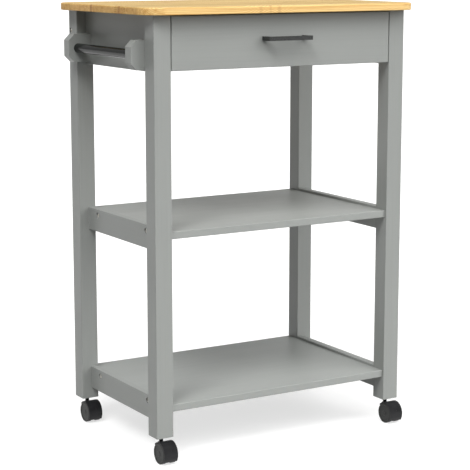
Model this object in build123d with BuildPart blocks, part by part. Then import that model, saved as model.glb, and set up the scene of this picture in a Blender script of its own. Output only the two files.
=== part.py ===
"""Kitchen island cart: a pine worktop on a painted frame with one drawer, two shelves,
a towel rail on its left side and four twin-wheel casters.

Millimetres. The origin is on the floor under the middle of the frame, +Z is up, the drawer
opens towards -Y, and the towel rail is on the -X side.
"""
import os

from build123d import *

os.makedirs("parts", exist_ok=True)

# ---- Driving dimensions ---------------------------------------------------------------
FRAME_WIDTH = 555.0  # across the outer faces of the legs, along X
FRAME_DEPTH = 355.0  # across the outer faces of the legs, along Y
LEG_SIDE = 35.0
LEG_LENGTH = 785.0
LEG_FOOT = 48.0  # height of the legs' feet above the floor
BOARD = 15.0  # thickness of the aprons, shelf rails and drawer front
EASE = 1.2  # rounding of the edges of painted boards

TOP_WIDTH, TOP_DEPTH, TOP_THICKNESS = 600.0, 400.0, 14.0
TOP_CORNER = 45.0
TOP_UPPER_EASE, TOP_LOWER_EASE = 3.0, 1.5

APRON_HEIGHT = 105.0
RAIL_HEIGHT = 45.0
RAIL_FOOTS = {"lower": 69.0, "middle": 397.5}  # underside of the shelf rails
SHELF_THICKNESS = 14.0
SHELF_RISE = 26.0  # from the underside of a rail to the underside of its shelf
SHELF_FRONT, SHELF_BACK = -172.5, 174.5

SIDES = {"left": -1, "right": 1}
ENDS = {"front": -1, "back": 1}

# ---- Places worked out from them ------------------------------------------------------
LEG_X = (FRAME_WIDTH - LEG_SIDE) / 2
LEG_Y = (FRAME_DEPTH - LEG_SIDE) / 2
OUTER_X, OUTER_Y = FRAME_WIDTH / 2, FRAME_DEPTH / 2
INNER_X, INNER_Y = OUTER_X - LEG_SIDE, OUTER_Y - LEG_SIDE
PANEL_X = INNER_X + BOARD / 2  # mid-plane of the aprons and shelf rails
FACE_X = INNER_X + BOARD  # their outer face
TOP_Z = LEG_FOOT + LEG_LENGTH  # underside of the worktop
APRON_FOOT = TOP_Z - APRON_HEIGHT

# ---- Fasteners ------------------------------------------------------------------------
DOWEL_RADIUS, DOWEL_LENGTH = 4.0, 30.0
APRON_DOWEL_HEIGHTS = [APRON_FOOT + 26, TOP_Z - 26]
RAIL_DOWEL_RISES = [11.0, 34.0]
SCREW_SHANK, SCREW_LENGTH = 2.0, 42.0  # shelf screws
SCREW_HEAD, SCREW_HEAD_DEPTH = 4.1, 2.6
RECESS_RADIUS, RECESS_DEPTH = 5.6, 4.4  # around the heads of shelf screws and bolts
SHELF_SCREW_Y = 102.0
BOLT_SHANK, BOLT_REACH = 3.0, 34.0  # bolts of the back apron
BOLT_Y = OUTER_Y - BOARD / 2
BOLT_HEIGHTS = [APRON_FOOT + 20, APRON_FOOT + 64]
BARREL_RADIUS, BARREL_LENGTH = 5.0, 12.5
HEX_SOCKET = 4.0  # across the flats
SOCKET_SHARE, DOME_SHARE = 0.7, 0.6  # of a head's depth: a socket's depth, a dome's rounding


def block(x, y, z, mode=Mode.ADD):
    """A box that fills the given ranges along X, Y and Z."""
    centre = [(low + high) / 2 for low, high in (x, y, z)]
    size = [abs(high - low) for low, high in (x, y, z)]
    with Locations(tuple(centre)):
        return Box(*size, mode=mode)


def rod(start, direction, radius, length, mode=Mode.ADD):
    """A round bar from start along direction."""
    with Locations(Plane(origin=start, z_dir=direction)):
        low_end = (Align.CENTER, Align.CENTER, Align.MIN)
        return Cylinder(radius, length, align=low_end, mode=mode)


def bore(start, direction, radius, length):
    """A round hole from start along direction."""
    return rod(start, direction, radius, length, Mode.SUBTRACT)


def hex_screw(start, direction, shank, head, head_depth, length):
    """A screw whose head lies along direction from start, with a hexagon socket."""
    away = tuple(-part for part in direction)
    rod(start, direction, head, head_depth)
    rod(start, direction, shank, length)
    with BuildSketch(Plane(origin=start, z_dir=away)) as socket:
        RegularPolygon(HEX_SOCKET / 2, 6, major_radius=False)
    extrude(socket.sketch, amount=-head_depth * SOCKET_SHARE, mode=Mode.SUBTRACT)


def pan_screw(seat, direction, shank, head, head_depth, length):
    """A screw whose domed head stands on seat, its shank along direction."""
    away = tuple(-part for part in direction)
    head_solid = rod(seat, away, head, head_depth)
    far_edge = head_solid.edges().filter_by(GeomType.CIRCLE).sort_by(Axis(seat, away))[-1]
    fillet(far_edge, head_depth * DOME_SHARE)
    rod(seat, direction, shank, length)


def write(part, name):
    """Label a finished piece and write its STEP file."""
    part.label = name
    export_step(part, f"parts/{name}.step")


# ---- Worktop --------------------------------------------------------------------------
TAB_SIZE, TAB_THICKNESS, TAB_WIDTH = 20.0, 2.0, 16.0  # the steel angles under it
TAB_HOLE = 12.0  # from an angle's corner to its holes
TAB_SHANK, TAB_HEAD, TAB_HEAD_DEPTH, TAB_SCREW = 1.75, 3.3, 1.8, 10.0
SIDE_TAB_Y, BACK_TAB_X = 80.0, 140.0
# Each angle: the point on the apron's inner face, and the direction away from the apron.
TABS = [((side * INNER_X, y), (-side, 0)) for side in SIDES.values() for y in (-SIDE_TAB_Y, SIDE_TAB_Y)]
TABS += [((x, OUTER_Y - BOARD), (0, -1)) for x in (-BACK_TAB_X, BACK_TAB_X)]


def tab_holes():
    """The pilot holes of the angles' screws, in whichever part they reach."""
    depth = TAB_SCREW - TAB_THICKNESS
    for (x, y), (away_x, away_y) in TABS:
        bore((x + away_x * TAB_HOLE, y + away_y * TAB_HOLE, TOP_Z), (0, 0, 1), TAB_SHANK, depth)
        bore((x, y, TOP_Z - TAB_HOLE), (-away_x, -away_y, 0), TAB_SHANK, depth)


with BuildPart() as worktop:
    with BuildSketch(Plane.XY.offset(TOP_Z)):
        RectangleRounded(TOP_WIDTH, TOP_DEPTH, TOP_CORNER)
    extrude(amount=TOP_THICKNESS)
    fillet(worktop.faces().sort_by(Axis.Z)[-1].edges(), TOP_UPPER_EASE)
    fillet(worktop.faces().sort_by(Axis.Z)[0].edges(), TOP_LOWER_EASE)
    tab_holes()
write(worktop.part, "worktop")

with BuildPart() as angles:
    for (x, y), (away_x, away_y) in TABS:
        with Locations(Plane(origin=(x, y, TOP_Z), x_dir=(away_x, away_y, 0), z_dir=(0, 0, 1))):
            corner = (Align.MIN, Align.CENTER, Align.MAX)
            Box(TAB_SIZE, TAB_WIDTH, TAB_THICKNESS, align=corner)
            Box(TAB_THICKNESS, TAB_WIDTH, TAB_SIZE, align=corner)
        bore((x + away_x * TAB_HOLE, y + away_y * TAB_HOLE, TOP_Z - TAB_SIZE), (0, 0, 1), TAB_SHANK, TAB_SIZE)
        bore((x, y, TOP_Z - TAB_HOLE), (away_x, away_y, 0), TAB_SHANK, TAB_SIZE)
write(angles.part, "worktop_angles")

with BuildPart() as angle_screws:
    for (x, y), (away_x, away_y) in TABS:
        up_seat = (x + away_x * TAB_HOLE, y + away_y * TAB_HOLE, TOP_Z - TAB_THICKNESS)
        side_seat = (x + away_x * TAB_THICKNESS, y + away_y * TAB_THICKNESS, TOP_Z - TAB_HOLE)
        pan_screw(up_seat, (0, 0, 1), TAB_SHANK, TAB_HEAD, TAB_HEAD_DEPTH, TAB_SCREW)
        pan_screw(side_seat, (-away_x, -away_y, 0), TAB_SHANK, TAB_HEAD, TAB_HEAD_DEPTH, TAB_SCREW)
write(angle_screws.part, "worktop_angle_screws")

# ---- Legs -----------------------------------------------------------------------------
SLEEVE_RADIUS, SLEEVE_LENGTH = 5.0, 38.0
SLEEVE_FLANGE, SLEEVE_FLANGE_DEPTH = 7.0, 1.0


def dowel_heights():
    """Every height at which a leg takes the dowels of a side frame."""
    rails = [foot + rise for foot in RAIL_FOOTS.values() for rise in RAIL_DOWEL_RISES]
    return rails + APRON_DOWEL_HEIGHTS


for end_name, end in ENDS.items():
    for side_name, side in SIDES.items():
        x, y = side * LEG_X, end * LEG_Y
        with BuildPart() as leg:
            block((x - LEG_SIDE / 2, x + LEG_SIDE / 2), (y - LEG_SIDE / 2, y + LEG_SIDE / 2),
                  (LEG_FOOT, TOP_Z))
            fillet(leg.edges().filter_by(Axis.Z), EASE)
            bore((x, y, LEG_FOOT), (0, 0, 1), SLEEVE_RADIUS, SLEEVE_LENGTH)
            for height in dowel_heights():
                bore((side * PANEL_X, end * INNER_Y, height), (0, end, 0), DOWEL_RADIUS, DOWEL_LENGTH / 2)
            if end_name == "back":
                for height in BOLT_HEIGHTS:
                    bore((side * OUTER_X, BOLT_Y, height), (-side, 0, 0), RECESS_RADIUS, RECESS_DEPTH)
                    bore((side * OUTER_X, BOLT_Y, height), (-side, 0, 0), BOLT_SHANK, LEG_SIDE)
        write(leg.part, f"leg_{end_name}_{side_name}")

with BuildPart() as dowels:
    for side in SIDES.values():
        for end in ENDS.values():
            for height in dowel_heights():
                start = (side * PANEL_X, end * (INNER_Y - DOWEL_LENGTH / 2), height)
                rod(start, (0, end, 0), DOWEL_RADIUS, DOWEL_LENGTH)
write(dowels.part, "side_frame_dowels")

# ---- Towel rail -----------------------------------------------------------------------
BRACKET_REACH, BRACKET_WIDTH, BRACKET_HEIGHT = 48.0, 23.0, 54.0
BRACKET_FOOT = 733.5
BRACKET_CHAMFER = 12.0
TOWEL_RADIUS, TOWEL_WALL, TOWEL_SEAT = 9.3, 1.2, 12.0
TOWEL_X, TOWEL_Z = -FACE_X - 28.0, BRACKET_FOOT + BRACKET_HEIGHT / 2
BRACKET_SCREW_HEAD, BRACKET_SCREW_LENGTH = 4.0, 40.0
BRACKET_SCREW_HEIGHTS = [BRACKET_FOOT + 9, BRACKET_FOOT + BRACKET_HEIGHT - 12]
BRACKET_Y = INNER_Y - BRACKET_WIDTH / 2

for end_name, end in ENDS.items():
    with BuildPart() as bracket:
        block((-FACE_X, -FACE_X - BRACKET_REACH), (end * INNER_Y, end * (INNER_Y - BRACKET_WIDTH)),
              (BRACKET_FOOT, BRACKET_FOOT + BRACKET_HEIGHT))
        outer_face = bracket.faces().sort_by(Axis.X)[0]
        chamfer(outer_face.edges().filter_by(Axis.Y), BRACKET_CHAMFER)
        fillet(bracket.faces().sort_by(Axis.X)[0].edges().filter_by(Axis.Z), EASE)
        bore((TOWEL_X, end * (INNER_Y - BRACKET_WIDTH), TOWEL_Z), (0, end, 0), TOWEL_RADIUS, TOWEL_SEAT)
        for height in BRACKET_SCREW_HEIGHTS:
            bore((-FACE_X, end * BRACKET_Y, height), (-1, 0, 0), SCREW_SHANK, BRACKET_SCREW_LENGTH - BOARD)
    write(bracket.part, f"towel_bracket_{end_name}")

with BuildPart() as towel_bar:
    half = INNER_Y - BRACKET_WIDTH + TOWEL_SEAT
    rod((TOWEL_X, -half, TOWEL_Z), (0, 1, 0), TOWEL_RADIUS, 2 * half)
    bore((TOWEL_X, -half, TOWEL_Z), (0, 1, 0), TOWEL_RADIUS - TOWEL_WALL, 2 * half)
write(towel_bar.part, "towel_bar")

with BuildPart() as bracket_screws:
    for end in ENDS.values():
        for height in BRACKET_SCREW_HEIGHTS:
            hex_screw((-INNER_X, end * BRACKET_Y, height), (-1, 0, 0), SCREW_SHANK,
                      BRACKET_SCREW_HEAD, SCREW_HEAD_DEPTH, BRACKET_SCREW_LENGTH)
write(bracket_screws.part, "towel_bracket_screws")

# ---- Drawer runners: strips on the side aprons that the drawer's grooves slide on --------
RUNNER_THICKNESS, RUNNER_HEIGHT, RUNNER_Z = 12.0, 10.0, 780.0
RUNNER_FRONT, RUNNER_BACK = -147.2, 138.0
RUNNER_CLEARANCE = 0.3
RUNNER_SCREW_Y = [-110.0, 100.0]
RUNNER_SCREW_LENGTH, RUNNER_SCREW_HEAD = 22.0, 3.5

for side_name, side in SIDES.items():
    with BuildPart() as runner:
        block((side * INNER_X, side * (INNER_X - RUNNER_THICKNESS)), (RUNNER_FRONT, RUNNER_BACK),
              (RUNNER_Z - RUNNER_HEIGHT / 2, RUNNER_Z + RUNNER_HEIGHT / 2))
        for y in RUNNER_SCREW_Y:
            tip = (side * (INNER_X - RUNNER_THICKNESS), y, RUNNER_Z)
            bore(tip, (side, 0, 0), RUNNER_SCREW_HEAD, SCREW_HEAD_DEPTH)
            bore(tip, (side, 0, 0), SCREW_SHANK, RUNNER_THICKNESS)
    write(runner.part, f"drawer_runner_{side_name}")

with BuildPart() as runner_screws:
    for side in SIDES.values():
        for y in RUNNER_SCREW_Y:
            tip = (side * (INNER_X - RUNNER_THICKNESS), y, RUNNER_Z)
            rod(tip, (side, 0, 0), RUNNER_SCREW_HEAD, SCREW_HEAD_DEPTH)
            rod(tip, (side, 0, 0), SCREW_SHANK, RUNNER_SCREW_LENGTH)
write(runner_screws.part, "drawer_runner_screws")

# ---- Aprons ---------------------------------------------------------------------------
for side_name, side in SIDES.items():
    with BuildPart() as apron:
        block((side * INNER_X, side * FACE_X), (-INNER_Y, INNER_Y), (APRON_FOOT, TOP_Z))
        fillet(apron.faces().sort_by(Axis.Z)[0].edges().filter_by(Axis.Y), EASE)
        for end in ENDS.values():
            for height in APRON_DOWEL_HEIGHTS:
                bore((side * PANEL_X, end * INNER_Y, height), (0, -end, 0), DOWEL_RADIUS, DOWEL_LENGTH / 2)
        for y in RUNNER_SCREW_Y:
            bore((side * INNER_X, y, RUNNER_Z), (side, 0, 0), SCREW_SHANK,
                 RUNNER_SCREW_LENGTH - RUNNER_THICKNESS)
        if side_name == "left":
            for end in ENDS.values():
                for height in BRACKET_SCREW_HEIGHTS:
                    inner = (-INNER_X, end * BRACKET_Y, height)
                    bore(inner, (-1, 0, 0), BRACKET_SCREW_HEAD, SCREW_HEAD_DEPTH)
                    bore(inner, (-1, 0, 0), SCREW_SHANK, BOARD)
        tab_holes()
    write(apron.part, f"apron_{side_name}")

with BuildPart() as back_apron:
    block((-INNER_X, INNER_X), (OUTER_Y - BOARD, OUTER_Y), (APRON_FOOT, TOP_Z))
    fillet(back_apron.faces().sort_by(Axis.Z)[0].edges().filter_by(Axis.X), EASE)
    for side in SIDES.values():
        for height in BOLT_HEIGHTS:
            bore((side * INNER_X, BOLT_Y, height), (-side, 0, 0), BOLT_SHANK, BOLT_REACH)
            nut_place = (side * (INNER_X - BOLT_REACH + BARREL_RADIUS), OUTER_Y - BOARD, height)
            bore(nut_place, (0, 1, 0), BARREL_RADIUS, BARREL_LENGTH)
    tab_holes()
write(back_apron.part, "apron_back")

with BuildPart() as barrel_nuts:
    for side in SIDES.values():
        for height in BOLT_HEIGHTS:
            nut_place = (side * (INNER_X - BOLT_REACH + BARREL_RADIUS), OUTER_Y - BOARD, height)
            rod(nut_place, (0, 1, 0), BARREL_RADIUS, BARREL_LENGTH)
            bore((side * INNER_X, BOLT_Y, height), (-side, 0, 0), BOLT_SHANK, BOLT_REACH)
write(barrel_nuts.part, "barrel_nuts")

with BuildPart() as apron_bolts:
    for side in SIDES.values():
        for height in BOLT_HEIGHTS:
            seat_x = OUTER_X - RECESS_DEPTH
            hex_screw((side * (seat_x + SCREW_HEAD_DEPTH), BOLT_Y, height), (-side, 0, 0), BOLT_SHANK,
                      SCREW_HEAD, SCREW_HEAD_DEPTH, seat_x + SCREW_HEAD_DEPTH - INNER_X + BOLT_REACH)
write(apron_bolts.part, "apron_bolts")

# ---- Shelves and their rails ----------------------------------------------------------
for level, foot in RAIL_FOOTS.items():
    shelf_foot = foot + SHELF_RISE
    screw_z = shelf_foot + SHELF_THICKNESS / 2
    for side_name, side in SIDES.items():
        with BuildPart() as rail:
            block((side * INNER_X, side * FACE_X), (-INNER_Y, INNER_Y), (foot, foot + RAIL_HEIGHT))
            fillet(rail.edges().filter_by(Axis.Y), EASE)
            for end in ENDS.values():
                for rise in RAIL_DOWEL_RISES:
                    bore((side * PANEL_X, end * INNER_Y, foot + rise), (0, -end, 0), DOWEL_RADIUS,
                         DOWEL_LENGTH / 2)
            for y in (-SHELF_SCREW_Y, SHELF_SCREW_Y):
                bore((side * FACE_X, y, screw_z), (-side, 0, 0), RECESS_RADIUS, RECESS_DEPTH)
                bore((side * FACE_X, y, screw_z), (-side, 0, 0), SCREW_SHANK, BOARD)
        write(rail.part, f"{level}_shelf_rail_{side_name}")

    with BuildPart() as shelf:
        block((-INNER_X, INNER_X), (SHELF_FRONT, SHELF_BACK), (shelf_foot, shelf_foot + SHELF_THICKNESS))
        fillet(shelf.edges().filter_by(Axis.X), EASE)
        for side in SIDES.values():
            for y in (-SHELF_SCREW_Y, SHELF_SCREW_Y):
                bore((side * INNER_X, y, screw_z), (-side, 0, 0), SCREW_SHANK,
                     SCREW_LENGTH - SCREW_HEAD_DEPTH - BOARD + RECESS_DEPTH)
    write(shelf.part, f"{level}_shelf")

with BuildPart() as shelf_screws:
    for foot in RAIL_FOOTS.values():
        for side in SIDES.values():
            for y in (-SHELF_SCREW_Y, SHELF_SCREW_Y):
                top_x = side * (FACE_X - RECESS_DEPTH + SCREW_HEAD_DEPTH)
                place = (top_x, y, foot + SHELF_RISE + SHELF_THICKNESS / 2)
                hex_screw(place, (-side, 0, 0), SCREW_SHANK, SCREW_HEAD, SCREW_HEAD_DEPTH, SCREW_LENGTH)
write(shelf_screws.part, "shelf_screws")

# ---- Drawer ---------------------------------------------------------------------------
FRONT_GAP = 1.5
FRONT_FOOT, FRONT_TOP = 732.0, TOP_Z - 2.0
FRONT_X = INNER_X - FRONT_GAP
FRONT_Y = (-OUTER_Y, -OUTER_Y + BOARD)
BOX_SIDE, BOX_BACK = 13.0, 12.0
BOX_X = INNER_X - 6.0  # outer face of the drawer's sides
BOX_INNER_X = BOX_X - BOX_SIDE
BOX_FOOT, BOX_TOP = 742.0, 810.0
BOX_LENGTH = 300.0
BOX_END = FRONT_Y[1] + BOX_LENGTH
GROOVE_FRONT = FRONT_Y[1] + 15.0
GROOVE_DEPTH = 6.3
BASE_FOOT, BASE_THICKNESS, BASE_BITE = 748.0, 4.0, 5.0
BASE_Z = (BASE_FOOT, BASE_FOOT + BASE_THICKNESS)
BASE_X = BOX_INNER_X + BASE_BITE
BASE_Y = (FRONT_Y[1] - BASE_BITE, BOX_END - BOX_BACK + BASE_BITE)
PEG_RADIUS, PEG_LENGTH, PEG_BITE = 3.0, 26.0, 9.0  # the dowels of the drawer box
PEG_HEIGHTS = [759.0, 799.0]
FRONT_PEG_X = BOX_X - 7.5
BACK_PEG_Y = BOX_END - BOX_BACK / 2

HANDLE_PITCH, HANDLE_LENGTH, HANDLE_REACH = 88.0, 98.0, 25.0
HANDLE_BAR, HANDLE_HEIGHT, HANDLE_Z = 8.0, 8.0, 786.0
HANDLE_CORNER, HANDLE_EASE = 3.0, 1.0
HANDLE_BITE = 9.0  # depth of the threaded hole in each leg of the handle
HANDLE_BITE_SPARE = 0.5  # of it left free past the screw's tip
HANDLE_SCREW_HEAD, HANDLE_SCREW_HEAD_DEPTH = 4.0, 2.2

with BuildPart() as drawer_front:
    block((-FRONT_X, FRONT_X), FRONT_Y, (FRONT_FOOT, FRONT_TOP))
    fillet(drawer_front.faces().sort_by(Axis.Y)[0].edges(), EASE)
    block((-BASE_X, BASE_X), (BASE_Y[0], FRONT_Y[1]), BASE_Z, Mode.SUBTRACT)
    for side in SIDES.values():
        for height in PEG_HEIGHTS:
            bore((side * FRONT_PEG_X, FRONT_Y[1], height), (0, -1, 0), PEG_RADIUS, PEG_BITE)
        bore((side * HANDLE_PITCH / 2, FRONT_Y[1], HANDLE_Z), (0, -1, 0), SCREW_SHANK, BOARD)
write(drawer_front.part, "drawer_front")

for side_name, side in SIDES.items():
    with BuildPart() as drawer_side:
        block((side * BOX_INNER_X, side * BOX_X), (FRONT_Y[1], BOX_END), (BOX_FOOT, BOX_TOP))
        half_groove = RUNNER_HEIGHT / 2 + RUNNER_CLEARANCE
        block((side * (BOX_X - GROOVE_DEPTH), side * BOX_X), (GROOVE_FRONT, BOX_END),
              (RUNNER_Z - half_groove, RUNNER_Z + half_groove), Mode.SUBTRACT)
        block((side * BOX_INNER_X, side * BASE_X), (FRONT_Y[1], BASE_Y[1]), BASE_Z, Mode.SUBTRACT)
        for height in PEG_HEIGHTS:
            bore((side * FRONT_PEG_X, FRONT_Y[1], height), (0, 1, 0), PEG_RADIUS, PEG_LENGTH - PEG_BITE)
            bore((side * BOX_INNER_X, BACK_PEG_Y, height), (side, 0, 0), PEG_RADIUS, PEG_BITE)
    write(drawer_side.part, f"drawer_side_{side_name}")

with BuildPart() as drawer_back:
    block((-BOX_INNER_X, BOX_INNER_X), (BOX_END - BOX_BACK, BOX_END), (BOX_FOOT, BOX_TOP))
    block((-BOX_INNER_X, BOX_INNER_X), (BOX_END - BOX_BACK, BASE_Y[1]), BASE_Z, Mode.SUBTRACT)
    for side in SIDES.values():
        for height in PEG_HEIGHTS:
            bore((side * BOX_INNER_X, BACK_PEG_Y, height), (-side, 0, 0), PEG_RADIUS, PEG_LENGTH - PEG_BITE)
write(drawer_back.part, "drawer_back")

with BuildPart() as drawer_base:
    block((-BASE_X, BASE_X), BASE_Y, BASE_Z)
write(drawer_base.part, "drawer_base")

with BuildPart() as drawer_dowels:
    for side in SIDES.values():
        for height in PEG_HEIGHTS:
            rod((side * FRONT_PEG_X, FRONT_Y[1] - PEG_BITE, height), (0, 1, 0), PEG_RADIUS, PEG_LENGTH)
            rod((side * (BOX_INNER_X + PEG_BITE), BACK_PEG_Y, height), (-side, 0, 0), PEG_RADIUS, PEG_LENGTH)
write(drawer_dowels.part, "drawer_dowels")

with BuildPart() as handle:
    with BuildSketch(Plane.XY.offset(HANDLE_Z - HANDLE_HEIGHT / 2)) as bow:
        foot_width = HANDLE_LENGTH - HANDLE_PITCH
        with Locations((0, -OUTER_Y - HANDLE_REACH / 2)):
            Rectangle(HANDLE_LENGTH, HANDLE_REACH)
        with Locations((0, -OUTER_Y - (HANDLE_REACH - HANDLE_BAR) / 2)):
            Rectangle(HANDLE_LENGTH - 2 * foot_width, HANDLE_REACH - HANDLE_BAR, mode=Mode.SUBTRACT)
        fillet(bow.vertices().group_by(Axis.Y)[0], HANDLE_CORNER)
    extrude(amount=HANDLE_HEIGHT)
    for side in SIDES.values():
        bore((side * HANDLE_PITCH / 2, -OUTER_Y, HANDLE_Z), (0, -1, 0), SCREW_SHANK, HANDLE_BITE)
    bar_edges = handle.edges().filter_by(Axis.X).group_by(Axis.Y)[0]
    fillet(bar_edges, HANDLE_EASE)
write(handle.part, "drawer_handle")

with BuildPart() as handle_screws:
    for side in SIDES.values():
        seat = (side * HANDLE_PITCH / 2, FRONT_Y[1], HANDLE_Z)
        pan_screw(seat, (0, -1, 0), SCREW_SHANK, HANDLE_SCREW_HEAD, HANDLE_SCREW_HEAD_DEPTH,
                  BOARD + HANDLE_BITE - HANDLE_BITE_SPARE)
write(handle_screws.part, "handle_screws")

# ---- Casters --------------------------------------------------------------------------
WHEEL_RADIUS = 20.0
CASTER_TRAIL = 18.0  # from the stem's axis forward to the axle
WHEEL_INNER, WHEEL_OUTER = 5.7, 15.0  # faces of a wheel, from the caster's mid-plane
RIM_EASE = 1.2
HUB_RADIUS, POCKET_DEPTH, POCKET_RADIUS = 6.0, 1.9, 16.5
DISH_DEPTH, DISH_RADIUS, CAP_RADIUS = 0.9, 16.8, 5.5
AXLE_RADIUS, AXLE_HALF = 2.5, 12.8
AXLE_PLAY, STEM_PLAY = 0.05, 0.05
WHEEL_BORE_END = 13.0
HOOD_RADIUS, HOOD_WALL, HOOD_HALF = 22.2, 1.6, 14.6
HOOD_START, HOOD_SWEEP = 42.0, 176.0  # degrees, from the back over the top to the front
WEB_HALF, WEB_FOOT = 5.2, 7.5
BOSS_RADIUS, BOSS_FOOT, BOSS_TOP = 6.6, 14.0, 36.3
STEM_RADIUS, STEM_FOOT, STEM_TOP, STEM_CHAMFER = 4.0, 18.0, 84.0, 0.6
DIMPLE_RADIUS, DIMPLE_DEPTH, DIMPLE_ANGLE = 2.0, 0.7, 154.0  # a dent on the hood

with BuildPart() as sleeves:
    for end in ENDS.values():
        for side in SIDES.values():
            foot = (side * LEG_X, end * LEG_Y, LEG_FOOT)
            flange_foot = (side * LEG_X, end * LEG_Y, LEG_FOOT - SLEEVE_FLANGE_DEPTH)
            rod(foot, (0, 0, 1), SLEEVE_RADIUS, SLEEVE_LENGTH)
            rod(flange_foot, (0, 0, 1), SLEEVE_FLANGE, SLEEVE_FLANGE_DEPTH)
            bore(flange_foot, (0, 0, 1), STEM_RADIUS, SLEEVE_LENGTH + SLEEVE_FLANGE_DEPTH)
write(sleeves.part, "caster_sleeves")


def wheel_profile():
    """Half a section of a wheel: across is the distance from the caster's mid-plane."""
    bore_radius = AXLE_RADIUS + AXLE_PLAY
    pocket_floor, dish_floor = WHEEL_INNER + POCKET_DEPTH, WHEEL_OUTER - DISH_DEPTH
    return [
        (WHEEL_INNER, bore_radius),
        (WHEEL_INNER, HUB_RADIUS),
        (pocket_floor, HUB_RADIUS),
        (pocket_floor, POCKET_RADIUS),
        (WHEEL_INNER, POCKET_RADIUS),
        (WHEEL_INNER, WHEEL_RADIUS),
        (WHEEL_OUTER, WHEEL_RADIUS),
        (WHEEL_OUTER, DISH_RADIUS),
        (dish_floor, DISH_RADIUS - DISH_DEPTH),
        (dish_floor, CAP_RADIUS),
        (WHEEL_OUTER - DISH_DEPTH / 3, CAP_RADIUS - DISH_DEPTH),
        (WHEEL_OUTER - DISH_DEPTH / 3, 0),
        (WHEEL_BORE_END, 0),
        (WHEEL_BORE_END, bore_radius),
    ]


for end_name, end in ENDS.items():
    for side_name, side in SIDES.items():
        caster = f"caster_{end_name}_{side_name}"
        x, y = side * LEG_X, end * LEG_Y
        axle_y = y - CASTER_TRAIL
        hub = (x, axle_y, WHEEL_RADIUS)

        with BuildPart() as stem:
            rod((x, y, STEM_FOOT), (0, 0, 1), STEM_RADIUS, STEM_TOP - STEM_FOOT)
            chamfer(stem.edges().filter_by(GeomType.CIRCLE), STEM_CHAMFER)
        write(stem.part, f"{caster}_stem")

        with BuildPart() as housing:
            with BuildSketch(Plane.YZ.offset(x - HOOD_HALF)):
                with BuildLine():
                    outer = CenterArc((axle_y, WHEEL_RADIUS), HOOD_RADIUS, HOOD_START, HOOD_SWEEP)
                    inner = CenterArc((axle_y, WHEEL_RADIUS), HOOD_RADIUS - HOOD_WALL, HOOD_START, HOOD_SWEEP)
                    Line(outer @ 0, inner @ 0)
                    Line(outer @ 1, inner @ 1)
                make_face()
            extrude(amount=2 * HOOD_HALF)
            with BuildSketch(Plane.YZ.offset(x - WEB_HALF)):
                with Locations((axle_y, WHEEL_RADIUS)):
                    Circle(HOOD_RADIUS - HOOD_WALL / 2)
                with Locations((axle_y, 0)):
                    Rectangle(3 * WHEEL_RADIUS, 2 * WEB_FOOT, mode=Mode.SUBTRACT)
            extrude(amount=2 * WEB_HALF)
            rod((x, y, BOSS_FOOT), (0, 0, 1), BOSS_RADIUS, BOSS_TOP - BOSS_FOOT)
            for outward in (-1, 1):
                start = (x + outward * WEB_HALF, axle_y, WHEEL_RADIUS)
                bore(start, (outward, 0, 0), HOOD_RADIUS - HOOD_WALL, HOOD_HALF)
            bore((x, y, STEM_FOOT - 1), (0, 0, 1), STEM_RADIUS + STEM_PLAY, BOSS_TOP)
            bore((x - WEB_HALF, axle_y, WHEEL_RADIUS), (1, 0, 0), AXLE_RADIUS, 2 * WEB_HALF)
            direction = Vector(0, 1, 0).rotate(Axis.X, DIMPLE_ANGLE)
            dimple_floor = Vector(hub) + direction * (HOOD_RADIUS - DIMPLE_DEPTH)
            bore(tuple(dimple_floor), tuple(direction), DIMPLE_RADIUS, HOOD_WALL)
        write(housing.part, f"{caster}_housing")

        with BuildPart() as axle:
            rod((x - AXLE_HALF, axle_y, WHEEL_RADIUS), (1, 0, 0), AXLE_RADIUS, 2 * AXLE_HALF)
        write(axle.part, f"{caster}_axle")

        for wheel_name, outward in SIDES.items():
            with BuildPart() as wheel:
                with BuildSketch(Plane(origin=hub, x_dir=(outward, 0, 0), z_dir=(0, -1, 0))):
                    with BuildLine():
                        Polyline(*wheel_profile(), close=True)
                    make_face()
                revolve(axis=Axis(hub, (1, 0, 0)))
                treads = wheel.edges().filter_by(GeomType.CIRCLE).filter_by(
                    lambda edge: abs(edge.radius - WHEEL_RADIUS) < 0.01)
                fillet(treads, RIM_EASE)
            write(wheel.part, f"{caster}_wheel_{wheel_name}")
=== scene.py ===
"""Kitchen island cart: materials, light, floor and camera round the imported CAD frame.

Units are metres, in the CAD's own frame: the origin is on the floor under the middle of the cart,
-Y is the drawer's side, -X the towel bar's side and +Z is up.
"""

import math
from collections import namedtuple

import bpy
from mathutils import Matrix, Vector


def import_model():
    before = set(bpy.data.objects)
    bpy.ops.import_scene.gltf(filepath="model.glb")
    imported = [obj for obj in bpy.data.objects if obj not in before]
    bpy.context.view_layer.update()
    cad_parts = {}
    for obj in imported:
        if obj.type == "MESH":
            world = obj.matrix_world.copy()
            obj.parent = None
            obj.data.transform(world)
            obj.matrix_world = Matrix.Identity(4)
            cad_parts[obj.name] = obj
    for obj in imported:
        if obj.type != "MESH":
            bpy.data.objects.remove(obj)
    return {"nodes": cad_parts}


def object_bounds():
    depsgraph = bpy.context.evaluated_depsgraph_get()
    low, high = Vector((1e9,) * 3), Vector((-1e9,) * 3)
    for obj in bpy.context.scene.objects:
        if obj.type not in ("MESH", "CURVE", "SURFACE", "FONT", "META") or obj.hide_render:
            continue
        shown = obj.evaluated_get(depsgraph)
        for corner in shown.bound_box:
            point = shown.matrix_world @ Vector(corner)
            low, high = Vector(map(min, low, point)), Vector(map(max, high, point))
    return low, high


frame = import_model()
CAD_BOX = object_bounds()
NODES = frame["nodes"]

# ---- Node graphs ----------------------------------------------------------------------

WHITE, BLACK = (1.0, 1.0, 1.0, 1.0), (0.0, 0.0, 0.0, 1.0)


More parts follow.
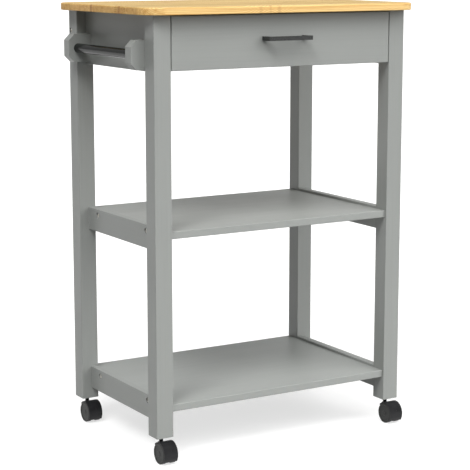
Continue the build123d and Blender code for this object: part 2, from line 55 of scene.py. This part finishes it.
class Graph:
    """A procedural material, built up one node at a time from object coordinates."""

    def __init__(self, name, **surface):
        self.material = bpy.data.materials.new(name)
        self.material.use_nodes = True
        self.tree = self.material.node_tree
        self.shader = self.tree.nodes["Principled BSDF"]
        for label, value in surface.items():
            self.shader.inputs[label.replace("_", " ")].default_value = value
        texture = self.add("ShaderNodeTexCoord")
        self.coords = texture.outputs["Object"]
        self.normal = texture.outputs["Normal"]

    def add(self, kind, *inputs, **settings):
        made = self.tree.nodes.new(kind)
        for label, value in settings.items():
            setattr(made, label, value)
        for socket, value in zip(made.inputs, inputs):
            self.put(socket, value)
        return made

    def put(self, socket, value):
        if isinstance(value, bpy.types.NodeSocket):
            self.tree.links.new(value, socket)
        elif value is not None:
            socket.default_value = value

    def math(self, operation, *values, clamp=False):
        made = self.add("ShaderNodeMath", *values, operation=operation, use_clamp=clamp)
        return made.outputs[0]

    def plus(self, a, b, clamp=False):
        return self.math("ADD", a, b, clamp=clamp)

    def minus(self, a, b):
        return self.math("SUBTRACT", a, b)

    def times(self, a, b, clamp=False):
        return self.math("MULTIPLY", a, b, clamp=clamp)

    def over(self, a, b):
        return self.math("DIVIDE", a, b)

    def axes(self, order, source=None):
        """The three coordinates, as separate values, in the given order of axes."""
        parts = self.add("ShaderNodeSeparateXYZ", source or self.coords)
        return [parts.outputs[axis] for axis in order.upper()]

    def facing(self, axis):
        """1 on a face that looks straight along the axis, either way, and 0 on one beside it."""
        return self.math("ABSOLUTE", self.axes(axis, self.normal)[0])

    def vector(self, x, y, z):
        return self.add("ShaderNodeCombineXYZ", x, y, z).outputs[0]

    def noise(self, vector, scale=1.0, detail=3.0, roughness=0.5):
        made = self.add("ShaderNodeTexNoise")
        for label, value in (("Vector", vector), ("Scale", scale), ("Detail", detail),
                             ("Roughness", roughness)):
            self.put(made.inputs[label], value)
        return made.outputs["Fac"]

    def stretched_noise(self, vector, scales, detail, roughness=0.5):
        """Noise with a scale of its own along each axis."""
        scaled = self.add("ShaderNodeVectorMath", vector, scales, operation="MULTIPLY")
        return self.noise(scaled.outputs[0], detail=detail, roughness=roughness)

    def remap(self, value, low, high, out_low=0.0, out_high=1.0):
        made = self.add("ShaderNodeMapRange", value, low, high, out_low, out_high)
        return made.outputs[0]

    def greys(self, value, stops):
        """A ramp through shades of grey. stops are pairs of position and shade."""
        made = self.add("ShaderNodeValToRGB", value)
        points = made.color_ramp.elements
        while len(points) < len(stops):
            points.new(1.0)
        for point, (position, shade) in zip(points, stops):
            point.position = position
            point.color = (shade, shade, shade, 1.0)
        return made.outputs["Color"]

    def mix(self, factor, a, b, blend="MIX"):
        made = self.add("ShaderNodeMix", data_type="RGBA", blend_type=blend)
        colours = [socket for socket in made.inputs if socket.type == "RGBA"]
        self.put(made.inputs[0], factor)
        for socket, value in zip(colours, (a, b)):
            self.put(socket, (*value, 1.0) if isinstance(value, tuple) else value)
        return next(socket for socket in made.outputs if socket.type == "RGBA")

    def random(self, seed_value):
        """Three random numbers that depend only on the given value."""
        made = self.add("ShaderNodeTexWhiteNoise", noise_dimensions="1D")
        self.put(made.inputs["W"], seed_value)
        return self.axes("xyz", made.outputs["Color"])

    def glow(self, strength):
        self.shader.inputs["Emission Color"].default_value = WHITE
        self.shader.inputs["Emission Strength"].default_value = strength

    def finish(self, colour=None, roughness=None, height=None, depth=0.0):
        """Links the worked-out colour, roughness and relief (depth in metres) to the shader."""
        self.put(self.shader.inputs["Base Color"], colour)
        self.put(self.shader.inputs["Roughness"], roughness)
        if height is not None:
            bump = self.add("ShaderNodeBump")
            bump.inputs["Distance"].default_value = depth
            self.put(bump.inputs["Height"], height)
            self.put(self.shader.inputs["Normal"], bump.outputs["Normal"])
        return self.material


# ---- Wood -----------------------------------------------------------------------------

# darker, end_grain and the painted shade on a board's wide faces are multiplied in, and the others are
# colours.
Tones = namedtuple("Tones", "early late darker end_grain knot")
PINE = Tones(early=(0.84, 0.59, 0.245), late=(0.54, 0.27, 0.06), darker=(0.74, 0.68, 0.50),
             end_grain=(1.0, 0.97, 0.92), knot=(0.28, 0.10, 0.03))
BARE_PINE = Tones(early=(0.80, 0.65, 0.44), late=(0.60, 0.38, 0.18), darker=(0.84, 0.76, 0.64),
                  end_grain=(0.84, 0.72, 0.56), knot=(0.34, 0.17, 0.08))
BIRCH = Tones(early=(0.72, 0.57, 0.38), late=(0.58, 0.41, 0.24), darker=(0.88, 0.82, 0.72),
              end_grain=(0.70, 0.55, 0.40), knot=(0.3, 0.2, 0.1))
BEECH = Tones(early=(0.62, 0.42, 0.25), late=(0.50, 0.30, 0.16), darker=(0.85, 0.80, 0.72),
              end_grain=(0.8, 0.7, 0.6), knot=(0.3, 0.2, 0.1))

TOP_STRIP = 0.0445  # width of one board of the worktop
TOP_RING = 0.003  # spacing of its growth rings
TOP_KNOTS = (  # (along, across), size, darkness
    ((-0.066, -0.200), 0.005, 0.35), ((-0.045, -0.197), 0.0035, 0.7), ((-0.026, -0.201), 0.005, 0.4),
    ((-0.299, 0.030), 0.005, 0.7), ((-0.298, -0.085), 0.006, 0.6), ((-0.120, 0.062), 0.009, 0.95),
    ((0.165, 0.118), 0.008, 0.9), ((0.075, -0.064), 0.006, 0.8), ((0.252, 0.024), 0.005, 0.8),
    ((-0.205, 0.150), 0.005, 0.8), ((0.252, -0.190), 0.006, 0.3),
)

SECOND_DRAW = 31.7  # added to a board's seed for three more random numbers
NOISE_SHIFT = 9.0  # up to this far apart along the grain, neighbouring boards read the same noise
SLOW_WAVE, FINE_WAVE = 0.022, 0.0022  # how far the rings wander across the board
LEAN = 0.05  # slope of the rings along the board
HEART_ACROSS = 0.03  # the heart lies up to this far to either side of a board's middle
HEART_DEPTH = (-0.06, 0.045)  # and this far through it
DEPTH_START = 0.17  # puts the worktop's thickness just past a whole metre, so at a depth near 0
UNEVEN_SCALE, UNEVEN = 90.0, 1.6  # wide and narrow years: their scale, and how many rings they shift
RING_SHADES = ((0.0, 0.0), (0.45, 0.12), (0.82, 0.85), (0.9, 1.0), (1.0, 0.05))
KNOT_REACH, KNOT_BEND = 2.6, 3.2  # how many sizes round it a knot bends the rings, and by how many
KNOT_STRETCH, BEND_STRETCH = 1.25, 1.7  # how much longer they are along the grain
GLUE_LINE, GLUE_TONE = 0.0003, 0.12


def spot(graph, along, across, place, size, stretch):
    """1 at the middle of a knot, falling off to 0 over its size, longer along the grain."""
    dx = graph.over(graph.minus(along, place[0]), size * stretch)
    dy = graph.over(graph.minus(across, place[1]), size)
    squared = graph.plus(graph.times(dx, dx), graph.times(dy, dy))
    return graph.math("EXPONENT", graph.times(squared, -1.0))


def wood(name, order, tones, strip=TOP_STRIP, ring=TOP_RING, seed=0.0, knots=(), contrast=0.6,
         tone_spread=0.5, face=(1.0, 1.0, 1.0), **surface):
    """Solid wood. order names the axes along the grain, across the board and through it.

    contrast is that of the rings, tone_spread is how much boards differ, and face darkens the
    wide faces with painted shade, so they read less brightly lit against the edges, and shifts their
    hue a little.
    """
    graph = Graph(name, **surface)
    along, across, through = graph.axes(order)

    # Boards are glued side by side; each has its own heart, tone and offset.
    position = graph.plus(graph.over(across, strip), 0.5)
    board = graph.math("FLOOR", position)
    within = graph.minus(graph.math("FRACT", position), 0.5)
    heart_across, heart_depth, offset = graph.random(graph.plus(board, seed))
    board_tone, board_contrast, lean = graph.random(graph.plus(board, seed + SECOND_DRAW))
    space = graph.vector(graph.plus(along, graph.times(offset, NOISE_SHIFT)), across, through)

    # Rings lie round the heart, and wander slowly along the board.
    slow = graph.stretched_noise(space, (1.6, 9.0, 9.0), detail=2.0)
    fine = graph.stretched_noise(space, (9.0, 60.0, 60.0), detail=2.0)
    wave = graph.plus(graph.times(graph.minus(slow, 0.5), SLOW_WAVE),
                      graph.times(graph.minus(fine, 0.5), FINE_WAVE))
    slope = graph.times(along, graph.times(graph.minus(lean, 0.5), LEAN))
    to_heart = graph.remap(heart_across, 0.0, 1.0, -HEART_ACROSS, HEART_ACROSS)
    side = graph.plus(graph.plus(graph.times(within, strip), to_heart), graph.plus(wave, slope))
    depth = graph.plus(graph.math("FRACT", graph.plus(through, DEPTH_START)),
                       graph.remap(heart_depth, 0.0, 1.0, *HEART_DEPTH))
    radius = graph.math("SQRT", graph.plus(graph.times(side, side), graph.times(depth, depth)))
    uneven = graph.noise(graph.vector(graph.times(radius, UNEVEN_SCALE), board, seed), detail=1.0)
    phase = graph.plus(graph.over(radius, ring), graph.times(uneven, UNEVEN))

    # The rings bend round each knot, and the knot's own heart is dark.
    knot_mask = None
    for place, size, darkness in knots:
        around = spot(graph, along, across, place, size * KNOT_REACH, BEND_STRETCH)
        phase = graph.plus(phase, graph.times(around, KNOT_BEND))
        core = graph.times(spot(graph, along, across, place, size, KNOT_STRETCH), darkness)
        knot_mask = core if knot_mask is None else graph.math("MAXIMUM", knot_mask, core)

    # Late wood: the rings, stronger in some boards, patches and the ends, and blotches on the ends.
    rings = graph.greys(graph.math("FRACT", phase), RING_SHADES)
    patch = graph.stretched_noise(space, (2.5, 14.0, 14.0), detail=2.0)
    ends = graph.remap(graph.facing(order[0]), 0.55, 0.95)
    strength = graph.times(graph.remap(board_contrast, 0.0, 1.0, 0.65, 1.15),
                           graph.times(graph.remap(patch, 0.3, 0.7, 0.5, 1.25), contrast))
    strength = graph.times(strength, graph.remap(ends, 0.0, 1.0, 1.0, 1.35))
    blotches = graph.remap(graph.stretched_noise(space, (20.0, 95.0, 130.0), detail=3.0), 0.42, 0.66)
    late = graph.plus(graph.times(rings, strength), graph.times(blotches, graph.times(ends, 0.32)),
                      clamp=True)
    colour = graph.mix(late, tones.early, tones.late)
    streaks = graph.remap(graph.stretched_noise(space, (2.4, 170.0, 170.0), detail=2.0), 0.47, 0.65)
    colour = graph.mix(graph.times(streaks, 0.6 * contrast), colour, tones.late)

    # Darker boards, fibres, resin dashes and glue lines.
    tint = graph.times(graph.remap(board_tone, 0.45, 1.0), tone_spread, clamp=True)
    colour = graph.mix(tint, colour, tones.darker, blend="MULTIPLY")
    fibre = graph.stretched_noise(space, (45.0, 1900.0, 1900.0), detail=3.0, roughness=0.6)
    colour = graph.mix(1.0, colour, graph.greys(fibre, ((0.3, 0.86), (0.7, 1.06))), blend="MULTIPLY")
    resin = graph.stretched_noise(space, (70.0, 1100.0, 1100.0), detail=1.0)
    colour = graph.mix(graph.remap(resin, 0.7, 0.76, 0.0, 0.35), colour, tones.late)
    glue = graph.remap(graph.math("ABSOLUTE", within), 0.5 - GLUE_LINE / strip, 0.5, 0.0, GLUE_TONE)
    colour = graph.mix(glue, colour, tones.late)

    # Tint of the ends, painted shade on the wide faces, and last the knots.
    colour = graph.mix(graph.times(ends, 0.75), colour, tones.end_grain, blend="MULTIPLY")
    wide = graph.remap(graph.facing(order[2]), 0.4, 0.95)
    # painted shade: face darkens the wide faces against the edges, with a small shift of hue
    colour = graph.mix(wide, colour, face, blend="MULTIPLY")
    if knot_mask is not None:
        rough_edge = graph.plus(knot_mask, graph.times(graph.minus(fibre, 0.5), 0.5))
        colour = graph.mix(graph.remap(rough_edge, 0.2, 0.8, 0.0, 0.85), colour, tones.knot)

    relief = graph.plus(graph.times(rings, 0.35), fibre)
    gloss = surface["Roughness"]
    roughness = graph.remap(fibre, 0.3, 0.7, gloss - 0.05, gloss + 0.07)
    return graph.finish(colour, roughness, relief, depth=0.00004)


# ---- Paint, metal and plastic ---------------------------------------------------------

# The shelf grey is the frame's grey made a little lighter: painted light standing in for light the
# lamps bring too little of under the worktop.
GREY, SHELF_GREY_PAINTED_LIGHTER = (0.255, 0.265, 0.253), (0.272, 0.283, 0.270)


def tinted(tone, factor):
    return tuple(channel * factor for channel in tone)


def paint(name, order, tone=GREY):
    """Satin paint over pine: the grain shows faintly as relief under a sprayed surface."""
    graph = Graph(name, Specular_IOR_Level=0.45)
    space = graph.vector(*graph.axes(order))
    grain = graph.stretched_noise(space, (5.0, 330.0, 330.0), detail=4.0, roughness=0.6)
    streaks = graph.stretched_noise(space, (1.4, 42.0, 42.0), detail=2.0)
    spray = graph.noise(graph.coords, scale=1300.0, detail=2.0)
    clouds = graph.noise(graph.coords, scale=7.0, detail=3.0)
    shade = graph.plus(graph.times(streaks, 0.6), graph.times(clouds, 0.4))
    colour = graph.mix(graph.remap(shade, 0.3, 0.7), tinted(tone, 0.975), tinted(tone, 1.03))
    lines = graph.greys(grain, ((0.3, 0.962), (0.48, 1.0)))
    colour = graph.mix(1.0, colour, lines, blend="MULTIPLY")
    roughness = graph.remap(graph.plus(clouds, grain), 0.7, 1.3, 0.33, 0.48)
    relief = graph.plus(grain, graph.times(spray, 0.55))
    return graph.finish(colour, roughness, relief, depth=0.00006)


def powder_coat(name, tone, roughness, gleam):
    """Thin black coating with a fine orange-peel surface."""
    graph = Graph(name, Specular_IOR_Level=gleam)
    peel = graph.noise(graph.coords, scale=900.0, detail=2.0)
    speck = graph.noise(graph.coords, scale=4200.0, detail=1.0)
    colour = graph.mix(graph.remap(speck, 0.35, 0.75), tone, tinted(tone, 1.25))
    gloss = graph.remap(peel, 0.3, 0.7, roughness - 0.05, roughness + 0.06)
    return graph.finish(colour, gloss, peel, depth=0.00004)


def zinc(name):
    """Zinc-plated steel: a soft crystalline mottle and a fine grain."""
    graph = Graph(name, Metallic=1.0)
    cells = graph.noise(graph.coords, scale=420.0, detail=3.0)
    marks = graph.noise(graph.coords, scale=2600.0, detail=2.0)
    colour = graph.mix(graph.remap(cells, 0.3, 0.7), (0.52, 0.50, 0.45), (0.74, 0.72, 0.68))
    gloss = graph.remap(graph.plus(cells, marks), 0.7, 1.3, 0.22, 0.42)
    return graph.finish(colour, gloss, marks, depth=0.00003)


def nylon(name, tone, roughness, scuff=0.0):
    """Moulded plastic with a spark-eroded grain. scuff is how far its high spots are worn pale."""
    graph = Graph(name, Specular_IOR_Level=0.26)
    texture = graph.noise(graph.coords, scale=2400.0, detail=2.0)
    flow = graph.noise(graph.coords, scale=60.0, detail=3.0)
    colour = graph.mix(graph.remap(flow, 0.3, 0.7), tone, tinted(tone, 1.45))
    worn = graph.remap(texture, 0.55, 0.8, 0.0, scuff)
    colour = graph.mix(worn, colour, (0.16, 0.155, 0.15))
    gloss = graph.remap(flow, 0.3, 0.7, roughness - 0.06, roughness + 0.08)
    return graph.finish(colour, gloss, texture, depth=0.00005)


# ---- Which node wears what ------------------------------------------------------------


def wear(material, *names):
    for name in names:
        NODES[name].material_slots[0].material = material


def nodes_with(*words):
    """The CAD nodes whose name holds any of the given words."""
    return [name for name in NODES if any(word in name for word in words)]


# The worktop's face value is painted shade on its top and underside, with a small shift of hue.
wear(wood("pine_worktop", "xyz", PINE, seed=47.0, knots=TOP_KNOTS, contrast=1.0, tone_spread=0.8,
          face=(0.80, 0.85, 0.86), Roughness=0.5, Specular_IOR_Level=0.3), "worktop")

wear(paint("painted_upright", "zxy"), "towel_bracket_front", "towel_bracket_back", *nodes_with("leg_"))
wear(paint("painted_crosswise", "xzy"), "drawer_front", "apron_back")
# The shelves' lighter grey is painted light, not a different paint.
wear(paint("painted_shelf", "xyz", SHELF_GREY_PAINTED_LIGHTER), "lower_shelf", "middle_shelf")
wear(paint("painted_lengthwise", "yzx"), "apron_left", "apron_right", *nodes_with("shelf_rail"))

bare = dict(strip=0.09, contrast=0.5, Roughness=0.6)
wear(wood("bare_pine_lengthwise", "yzx", BARE_PINE, seed=11.0, **bare),
     "drawer_side_left", "drawer_side_right", "drawer_runner_left", "drawer_runner_right")
wear(wood("bare_pine_crosswise", "xzy", BARE_PINE, seed=17.0, **bare), "drawer_back")
wear(wood("plywood", "xyz", BIRCH, strip=0.3, ring=0.009, seed=5.0, contrast=0.4, Roughness=0.62),
     "drawer_base")
wear(wood("dowel_beech", "xyz", BEECH, strip=0.02, seed=23.0, contrast=0.3, Roughness=0.6),
     "side_frame_dowels", "drawer_dowels")

wear(powder_coat("black_metal", (0.010, 0.011, 0.011), roughness=0.22, gleam=0.32),
     *nodes_with("_stem"))
wear(powder_coat("black_handle", (0.022, 0.023, 0.022), roughness=0.28, gleam=0.4), "drawer_handle")
wear(powder_coat("black_bar", (0.007, 0.008, 0.007), roughness=0.15, gleam=0.2), "towel_bar")
wear(zinc("zinc_steel"), *nodes_with("screws", "bolts", "nuts", "angles", "axle", "sleeves"))
wear(nylon("caster_plastic", (0.008, 0.008, 0.009), 0.38), *nodes_with("housing"))
wear(nylon("wheel_plastic", (0.019, 0.020, 0.019), 0.45, scuff=0.12), *nodes_with("_wheel_"))

# ---- Floor, light and camera ----------------------------------------------------------

STUDIO_RADIUS = 45.0  # nearer than the far clip of every view
FLOOR_TONES = (0.42, 0.42, 0.415), (0.45, 0.45, 0.45)
FLOOR_GLOW = 0.62
WORLD_STRENGTH = 0.25
SUNS = (  # name, azimuth, elevation, strength, width of the light in degrees
    ("key", -54.0, 50.0, 1.9, 24.0),
    ("high", -14.0, 58.0, 1.5, 50.0),
    ("front", -4.0, 33.0, 0.55, 60.0),
    ("fill", 42.0, 28.0, 2.15, 50.0),
    ("back", 152.0, 34.0, 0.6, 70.0),
)
VIEW_AZIMUTH, VIEW_ELEVATION = -30.9, 10.1
VIEW_DISTANCE, AIM_HEIGHT = 3.162, 0.384
LENS, SENSOR_WIDTH = 120.4, 36.0


def direction(azimuth, elevation):
    """The unit vector from the cart to that side: azimuth 0 is in front, 90 is on the right."""
    a, e = math.radians(azimuth), math.radians(elevation)
    return Vector((math.sin(a) * math.cos(e), -math.cos(a) * math.cos(e), math.sin(e)))


def placed(name, data, back, location=(0.0, 0.0, 0.0)):
    """A lamp or camera that looks against the given direction."""
    made = bpy.data.objects.new(name, data)
    bpy.context.scene.collection.objects.link(made)
    made.location = location
    made.rotation_euler = back.to_track_quat("Z", "Y").to_euler()
    return made


def staged(name, material):
    """The mesh that was just added, as part of the studio. It throws no light on the cart."""
    made = bpy.context.object
    made.name = name
    made.data.materials.append(material)
    made.visible_diffuse = False
    return made


def floor():
    graph = Graph("floor_pale", Roughness=0.85, Specular_IOR_Level=0.2)
    graph.glow(FLOOR_GLOW)
    speckle = graph.noise(graph.coords, scale=14.0, detail=4.0)
    colour = graph.mix(graph.remap(speckle, 0.3, 0.7), *FLOOR_TONES)
    bpy.ops.mesh.primitive_circle_add(vertices=96, radius=STUDIO_RADIUS, fill_type="NGON")
    staged("floor", graph.finish(colour))


def backdrop(name, brightness, reflected):
    """A white dome far round the cart, seen either in reflections or by the camera."""
    graph = Graph(name, Roughness=1.0, Specular_IOR_Level=0.0)
    graph.glow(brightness)
    bpy.ops.mesh.primitive_uv_sphere_add(segments=48, ring_count=24, radius=STUDIO_RADIUS)
    made = staged(name, graph.finish(BLACK))
    made.visible_shadow = False
    made.visible_glossy, made.visible_camera = reflected, not reflected


def sun(name, azimuth, elevation, strength, width):
    lamp = bpy.data.lights.new(name, "SUN")
    lamp.energy = strength
    lamp.angle = math.radians(width)
    placed(name, lamp, direction(azimuth, elevation))


def world(strength):
    made = bpy.data.worlds.new("studio")
    made.use_nodes = True
    background = made.node_tree.nodes["Background"]
    background.inputs["Color"].default_value = WHITE
    background.inputs["Strength"].default_value = strength
    bpy.context.scene.world = made


def camera():
    lens = bpy.data.cameras.new("view")
    lens.lens, lens.sensor_width = LENS, SENSOR_WIDTH
    low, high = CAD_BOX
    middle = (low + high) / 2
    back = direction(VIEW_AZIMUTH, VIEW_ELEVATION)
    target = Vector((middle.x, middle.y, AIM_HEIGHT))
    bpy.context.scene.camera = placed("view", lens, back, target + back * VIEW_DISTANCE)


floor()
world(WORLD_STRENGTH)
backdrop("backdrop_seen", 1.0, reflected=False)
backdrop("backdrop_reflected", 0.5, reflected=True)
for settings in SUNS:
    sun(*settings)
camera()
bpy.context.scene.view_settings.view_transform = "Standard"
